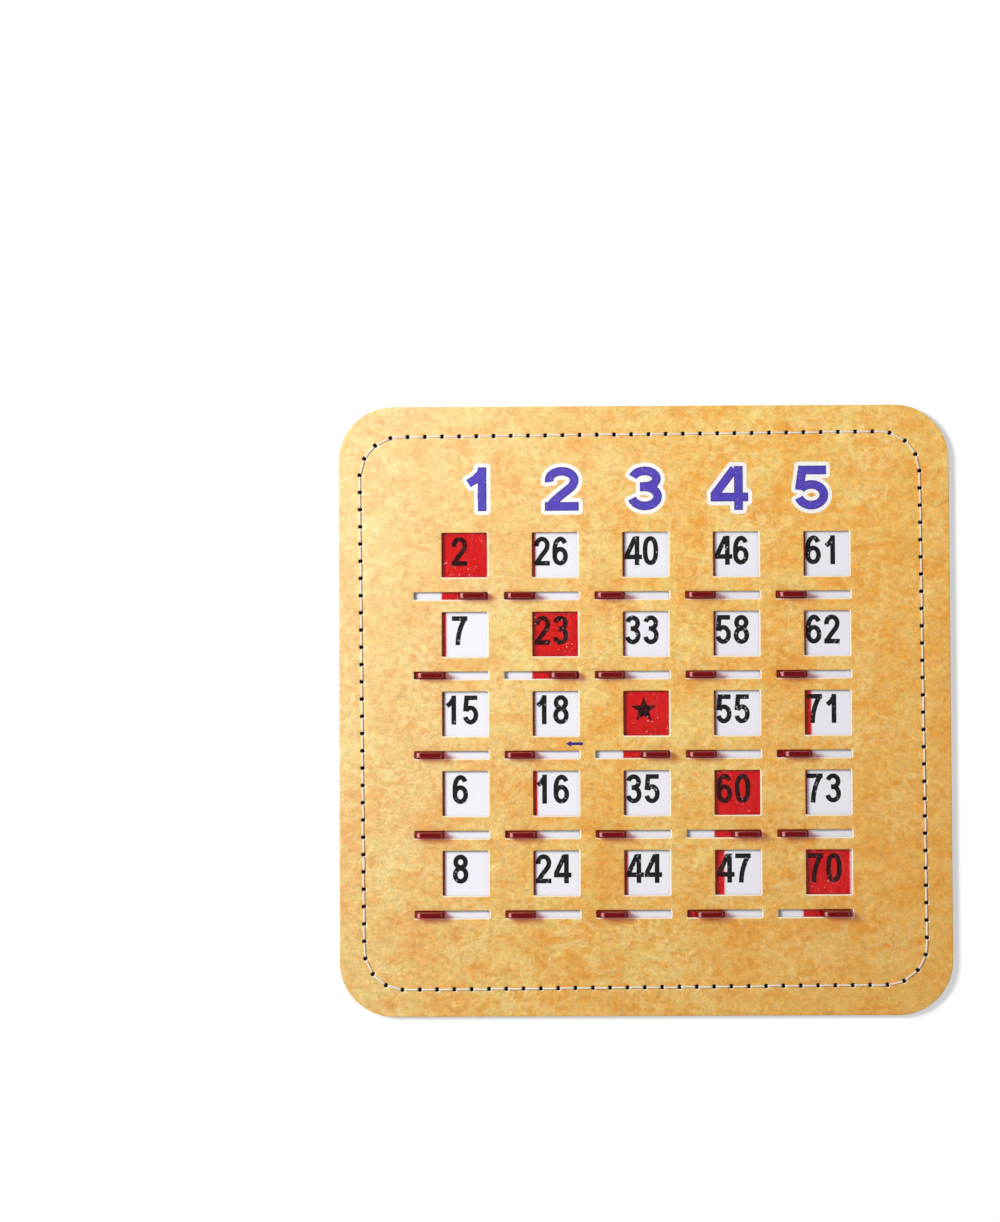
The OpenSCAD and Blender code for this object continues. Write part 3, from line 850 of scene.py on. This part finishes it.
# Distances from a tab's outline at which rings run over its top
TAB_STEPS = (0, 0.012, 0.05, 0.11, 0.19, 0.28, 0.35, 0.5, 0.7, TAB_TOP_HALF - 0.02)
# Rise over the plate, and what the foot's half thickness grows by there
FOOT_FILLET = [(0.0, 0.13), (0.035, 0.055), (0.09, 0.015), (0.16, 0.0)]
SMOOTH_BELOW = math.radians(42)


def tab_ring(half_length, half, r, ends=(0.2, 0.65)):
    """A tab's outline, counter-clockwise, from the left end; its second half mirrors the first."""
    side = half - r
    points = [(-half_length, -side * f) for f in ends]
    for i in range(6):
        a = math.pi + math.pi / 2 * i / 5
        points.append((-half_length + r + r * math.cos(a), -side + r * math.sin(a)))
    straight = half_length - r
    turned = [TAB_W / 2 - TAB_CORNER_R * (1 - math.sin(math.radians(d))) for d in (0, 16, 32, 46)]
    xs = [-x / (TAB_W / 2 - TAB_EDGE_R) for x in reversed(turned)]
    xs += [-0.48, -0.24, 0.0, 0.24, 0.48] + [-x for x in reversed(xs)]
    points += [(x * straight, -half) for x in xs]
    points += [(-x, y) for x, y in reversed(points[:6 + len(ends)])]
    return points + [(x, -y) for x, y in reversed(points)]


def tab_top(x, y):
    """Height of a tab's top face: round corners at its ends, round edges along it, and a slight crown."""
    along = min(max(0.0, abs(x) - (TAB_W / 2 - TAB_CORNER_R)), TAB_CORNER_R)
    across = min(max(0.0, abs(y) - (TAB_TOP_HALF - TAB_EDGE_R)), TAB_EDGE_R)
    drop = TAB_CORNER_R - math.sqrt(TAB_CORNER_R ** 2 - along ** 2)
    drop += TAB_EDGE_R - math.sqrt(TAB_EDGE_R ** 2 - across ** 2)
    return TAB_TOP - drop - y * y / (2 * TAB_CROWN_R)


def add_ring(verts, faces, ring, z, last):
    """Adds a ring of points and the faces from the last ring to it; gives the new ring's first vertex."""
    base, n = len(verts), len(ring)
    verts += [(x, y, z[i] if hasattr(z, "__len__") else z) for i, (x, y) in enumerate(ring)]
    if last is not None:
        faces += [(last + k, last + (k + 1) % n, base + (k + 1) % n, base + k) for k in range(n)]
    return base


def shutter_mesh(right, slot_y):
    """A shutter's vertices and faces: its thin plate, and the tab that stands on it."""
    verts, faces = [], []
    px, py = right - PLATE_W / 2, slot_y - SLOT_UP + PLATE_H / 2
    half_length = (TAB_W - TAB_END_GAP) / 2
    mx = right - TAB_END_GAP - half_length
    full = rounded_rect(PLATE_W, PLATE_H, PLATE_R, px, py, step=PLATE_H, arc=5)
    small = rounded_rect(PLATE_W - 2 * PLATE_BEVEL, PLATE_H - 2 * PLATE_BEVEL, PLATE_R - PLATE_BEVEL,
                         px, py, step=PLATE_H, arc=5)
    low = add_ring(verts, faces, small, PLATE_Z, None)
    faces.append(tuple(reversed(range(low, low + len(small)))))
    last = add_ring(verts, faces, full, PLATE_Z + PLATE_BEVEL, low)
    last = add_ring(verts, faces, full, PLATE_TOP - PLATE_BEVEL, last)
    rim = add_ring(verts, faces, small, PLATE_TOP, last)
    foot = [(mx + x, slot_y + y)
            for x, y in tab_ring(half_length, TAB_FOOT_HALF + FOOT_FILLET[0][1], TAB_EDGE_R)]
    _, flat_tris, _, (flat_rim, flat_foot) = cut_sheet(small, [foot])
    where = {vertex: rim + i for i, vertex in enumerate(flat_rim)}
    first = add_ring(verts, faces, foot, PLATE_TOP, None)
    where.update({vertex: first + i for i, vertex in enumerate(flat_foot)})
    faces += [tuple(where[i] for i in t) for t in flat_tris]
    last = first
    for rise, growth in FOOT_FILLET[1:]:
        ring = [(mx + x, slot_y + y) for x, y in tab_ring(half_length, TAB_FOOT_HALF + growth, TAB_EDGE_R)]
        last = add_ring(verts, faces, ring, PLATE_TOP + rise, last)
    for inset in TAB_STEPS:
        flat = tab_ring(half_length - inset, TAB_TOP_HALF - inset, max(TAB_EDGE_R - inset, 0.015))
        z = [tab_top(x * (TAB_W / 2) / half_length, y) for x, y in flat]
        if inset == 0:
            for share in (0.33, 0.66):
                half = TAB_FOOT_HALF + (TAB_TOP_HALF - TAB_FOOT_HALF) * share
                between = tab_ring(half_length, half, TAB_EDGE_R)
                start = PLATE_TOP + FOOT_FILLET[-1][0]
                last = add_ring(verts, faces, [(mx + x, slot_y + y) for x, y in between],
                                [start + (top - start) * share for top in z], last)
        last = add_ring(verts, faces, [(mx + x, slot_y + y) for x, y in flat], z, last)
    n = len(flat)
    faces += [(last + i, last + i + 1, last + n - 2 - i, last + n - 1 - i) for i in range(n // 2 - 1)]
    return verts, faces


for name in sorted(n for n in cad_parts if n.startswith("shutter_")):
    low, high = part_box(name)
    shutter_verts, shutter_faces = shutter_mesh(high[0] / MM, low[1] / MM + SLOT_UP)
    shutter = new_mesh(name.replace("shutter", "slider"), shutter_verts, shutter_faces, [SHUTTER], None,
                       [True] * len(shutter_faces))
    shutter.data.set_sharp_from_angle(angle=SMOOTH_BELOW)
    add_piece(shutter, name, "shutter_plastic", name)


# Sewing thread

def swept(path, radius, sides, tube_count):
    """A round tube along a path, a radius at each of its points, as vertices and faces from tube_count on."""
    p = np.array(path)
    along = np.gradient(p, axis=0)
    along /= np.linalg.norm(along, axis=1)[:, None]
    ref = np.array([0.0, 0.0, 1.0])
    verts, faces = [], []
    last = None
    for i, (centre, t) in enumerate(zip(p, along)):
        if last is None:
            u = np.cross(t, ref if abs(t[2]) < 0.9 else [1.0, 0.0, 0.0])
        else:
            u = last - t * np.dot(last, t)
        u /= np.linalg.norm(u)
        last = u
        v = np.cross(t, u)
        for k in range(sides):
            a = 2 * math.pi * k / sides
            verts.append(centre + radius[i] * (math.cos(a) * u + math.sin(a) * v))
    rings_n = len(p)
    for i in range(rings_n - 1):
        for k in range(sides):
            a, b = i * sides + k, i * sides + (k + 1) % sides
            faces.append((tube_count + a, tube_count + b, tube_count + b + sides, tube_count + a + sides))
    faces.append(tuple(tube_count + k for k in reversed(range(sides))))
    faces.append(tuple(tube_count + (rings_n - 1) * sides + k for k in range(sides)))
    return verts, faces


# Along a stitch, by the distance from its hole's middle: its start, its rise, and how thin it is pulled
HOLE_LEAN = 0.5
DIVE = [0.5, 0.54, 0.6, 0.68, 0.82, 1.05], [0.0, 0.3, 0.6, 0.83, 0.97, 1.0]
PULLED_THIN = [0.5, 0.66, 0.95], [0.5, 0.75, 1.0]
STITCH_POINTS, STRAND_SIDES, TWIST_PITCH = 25, 7, 1.75
SLACK, SWAY, SHIFT = 0.04, 0.1, 0.07


def twisted_stitches(name, strand_r, twist_r, run_z, hole_z, side, strands, replaced):
    """Every stitch as a few strands laid round each other, from deep in one needle hole over to the next."""
    verts, faces = [], []
    random = np.random.default_rng(11)
    for i in range(STITCHES):
        a, b = np.array(HOLES[i]), np.array(HOLES[(i + 1) % STITCHES])
        length = np.linalg.norm(b - a)
        heading = (b - a) / length
        across = np.array([-heading[1], heading[0]])
        ts = 0.5 - 0.5 * np.cos(np.linspace(0, math.pi, STITCH_POINTS))
        along = HOLE_LEAN + ts * (length - 2 * HOLE_LEAN)
        edge = np.minimum(along, length - along)
        height = hole_z + (run_z - hole_z) * np.interp(edge, *DIVE)
        height = height + side * SLACK * np.sin(ts * math.pi) * random.uniform(-1, 0.6)
        sway = random.uniform(-SWAY, SWAY) * np.sin(ts * math.pi) + random.uniform(-SHIFT, SHIFT)
        centre = a[None] + heading[None] * along[:, None] + across[None] * sway[:, None]
        centre = np.c_[centre, height]
        tangent = np.gradient(centre, axis=0)
        tangent /= np.linalg.norm(tangent, axis=1)[:, None]
        side_way = np.cross(tangent, [0, 0, 1.0])
        side_way[np.linalg.norm(side_way, axis=1) < 1e-6] = [1, 0, 0]
        side_way /= np.linalg.norm(side_way, axis=1)[:, None]
        up_way = np.cross(side_way, tangent)
        start = random.uniform(0, 2 * math.pi)
        turns = length / TWIST_PITCH
        thin = np.interp(edge, *PULLED_THIN)
        for k in range(strands):
            angle = start + 2 * math.pi * (k / strands + turns * ts)
            way = np.cos(angle)[:, None] * side_way + np.sin(angle)[:, None] * up_way
            v, f = swept(centre + twist_r * thin[:, None] * way, strand_r * thin, STRAND_SIDES, len(verts))
            verts += v
            faces += f
    obj = new_mesh(name, verts, faces, [THREAD], None, [True] * len(faces))
    return add_piece(obj, "card", "thread", replaced)


twisted_stitches("needle_stitches", strand_r=0.155, twist_r=0.15, run_z=FACE_Z + 0.28, hole_z=1.45, side=1,
                 strands=3, replaced="needle_thread")
twisted_stitches("bobbin_stitches", strand_r=0.14, twist_r=0.13, run_z=0.345, hole_z=1.1, side=-1,
                 strands=3, replaced="bobbin_thread")

# Floor, light and background

FLOOR_GLOW = 0.3
WORLD_LIGHT = 0.36
FLOOR_HALF, FLOOR_Z, FLOOR_WHITE = 2.5, -0.00003, 0.93
UNDER_REACH = 0.001  # a ray that met the floor within this length came from the card's back
FAR_STARTS, FAR_ENDS = 0.16, 0.45
LAMP_PLACE, LAMP_SIZE, LAMP_POWER = (-0.44, 0.17, 0.55), 0.24, 4.6


def straight_rays(tree):
    """1 for what is seen straight, mirrored or through the plastic, and 0 for rays that only carry light."""
    rays = tree.nodes.new("ShaderNodeLightPath")
    value = rays.outputs["Is Camera Ray"]
    for other in ("Is Glossy Ray", "Is Transmission Ray"):
        either = tree.nodes.new("ShaderNodeMath")
        either.operation = "MAXIMUM"
        tree.links.new(value, either.inputs[0])
        tree.links.new(rays.outputs[other], either.inputs[1])
        value = either.outputs[0]
    return value


floor_mesh = bpy.data.meshes.new("floor")
floor_mesh.from_pydata(
    [(sx * FLOOR_HALF, sy * FLOOR_HALF, FLOOR_Z) for sx, sy in ((-1, -1), (1, -1), (1, 1), (-1, 1))],
    [], [(0, 1, 2, 3)])
floor = bpy.data.objects.new("floor", floor_mesh)
bpy.context.scene.collection.objects.link(floor)
floor_look = bpy.data.materials.new("floor")
floor_look.use_nodes = True
nt = floor_look.node_tree
nt.nodes.clear()
output = nt.nodes.new("ShaderNodeOutputMaterial")
diffuse = nt.nodes.new("ShaderNodeBsdfDiffuse")
diffuse.inputs["Color"].default_value = (FLOOR_WHITE, FLOOR_WHITE, FLOOR_WHITE, 1)
glow = nt.nodes.new("ShaderNodeEmission")
scaled = nt.nodes.new("ShaderNodeMath")
scaled.operation = "MULTIPLY"
scaled.inputs[1].default_value = FLOOR_GLOW
nt.links.new(straight_rays(nt), scaled.inputs[0])
nt.links.new(scaled.outputs[0], glow.inputs["Strength"])
both = nt.nodes.new("ShaderNodeAddShader")
nt.links.new(diffuse.outputs[0], both.inputs[0])
nt.links.new(glow.outputs[0], both.inputs[1])

# The floor lets the world's light through to the card's back, and can be seen through from below
see = nt.nodes.new("ShaderNodeBsdfTransparent")
facing_way = nt.nodes.new("ShaderNodeNewGeometry")
rays = nt.nodes.new("ShaderNodeLightPath")
near = nt.nodes.new("ShaderNodeMath")
near.operation = "LESS_THAN"
near.inputs[1].default_value = UNDER_REACH
nt.links.new(rays.outputs["Ray Length"], near.inputs[0])
under = nt.nodes.new("ShaderNodeMath")
under.operation = "MULTIPLY_ADD"
nt.links.new(rays.outputs["Is Diffuse Ray"], under.inputs[0])
nt.links.new(near.outputs[0], under.inputs[1])
nt.links.new(facing_way.outputs["Backfacing"], under.inputs[2])
under.use_clamp = True

# Far from the card, the floor is seen as white as the world behind it
reach = nt.nodes.new("ShaderNodeVectorMath")
reach.operation = "LENGTH"
nt.links.new(nt.nodes.new("ShaderNodeTexCoord").outputs["Object"], reach.inputs[0])
far = nt.nodes.new("ShaderNodeMapRange")
far.interpolation_type = "SMOOTHSTEP"
far.inputs["From Min"].default_value = FAR_STARTS
far.inputs["From Max"].default_value = FAR_ENDS
nt.links.new(reach.outputs["Value"], far.inputs["Value"])
seen_far = nt.nodes.new("ShaderNodeMath")
seen_far.operation = "MULTIPLY"
nt.links.new(far.outputs[0], seen_far.inputs[0])
nt.links.new(straight_rays(nt), seen_far.inputs[1])
far_white = nt.nodes.new("ShaderNodeEmission")
ground = nt.nodes.new("ShaderNodeMixShader")
nt.links.new(seen_far.outputs[0], ground.inputs[0])
nt.links.new(both.outputs[0], ground.inputs[1])
nt.links.new(far_white.outputs[0], ground.inputs[2])
mixed = nt.nodes.new("ShaderNodeMixShader")
nt.links.new(under.outputs[0], mixed.inputs[0])
nt.links.new(ground.outputs[0], mixed.inputs[1])
nt.links.new(see.outputs[0], mixed.inputs[2])
nt.links.new(mixed.outputs[0], output.inputs["Surface"])
floor_mesh.materials.append(floor_look)
floor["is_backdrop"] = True

lamp_data = bpy.data.lights.new("key", "AREA")
lamp_data.shape = "SQUARE"
lamp_data.size = LAMP_SIZE
lamp_data.energy = LAMP_POWER
lamp = bpy.data.objects.new("key", lamp_data)
lamp.location = LAMP_PLACE
lamp.rotation_euler = (-Vector(LAMP_PLACE)).to_track_quat("-Z", "Y").to_euler()
bpy.context.scene.collection.objects.link(lamp)

world = bpy.data.worlds.new("world")
bpy.context.scene.world = world
world.use_nodes = True
nt = world.node_tree
background = nt.nodes["Background"]
background.inputs["Color"].default_value = (1, 1, 1, 1)
strength = nt.nodes.new("ShaderNodeMapRange")
strength.inputs["To Min"].default_value = WORLD_LIGHT
strength.inputs["To Max"].default_value = 1.0
nt.links.new(straight_rays(nt), strength.inputs["Value"])
nt.links.new(strength.outputs[0], background.inputs["Strength"])

bpy.context.scene.view_settings.view_transform = "Standard"

low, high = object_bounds()
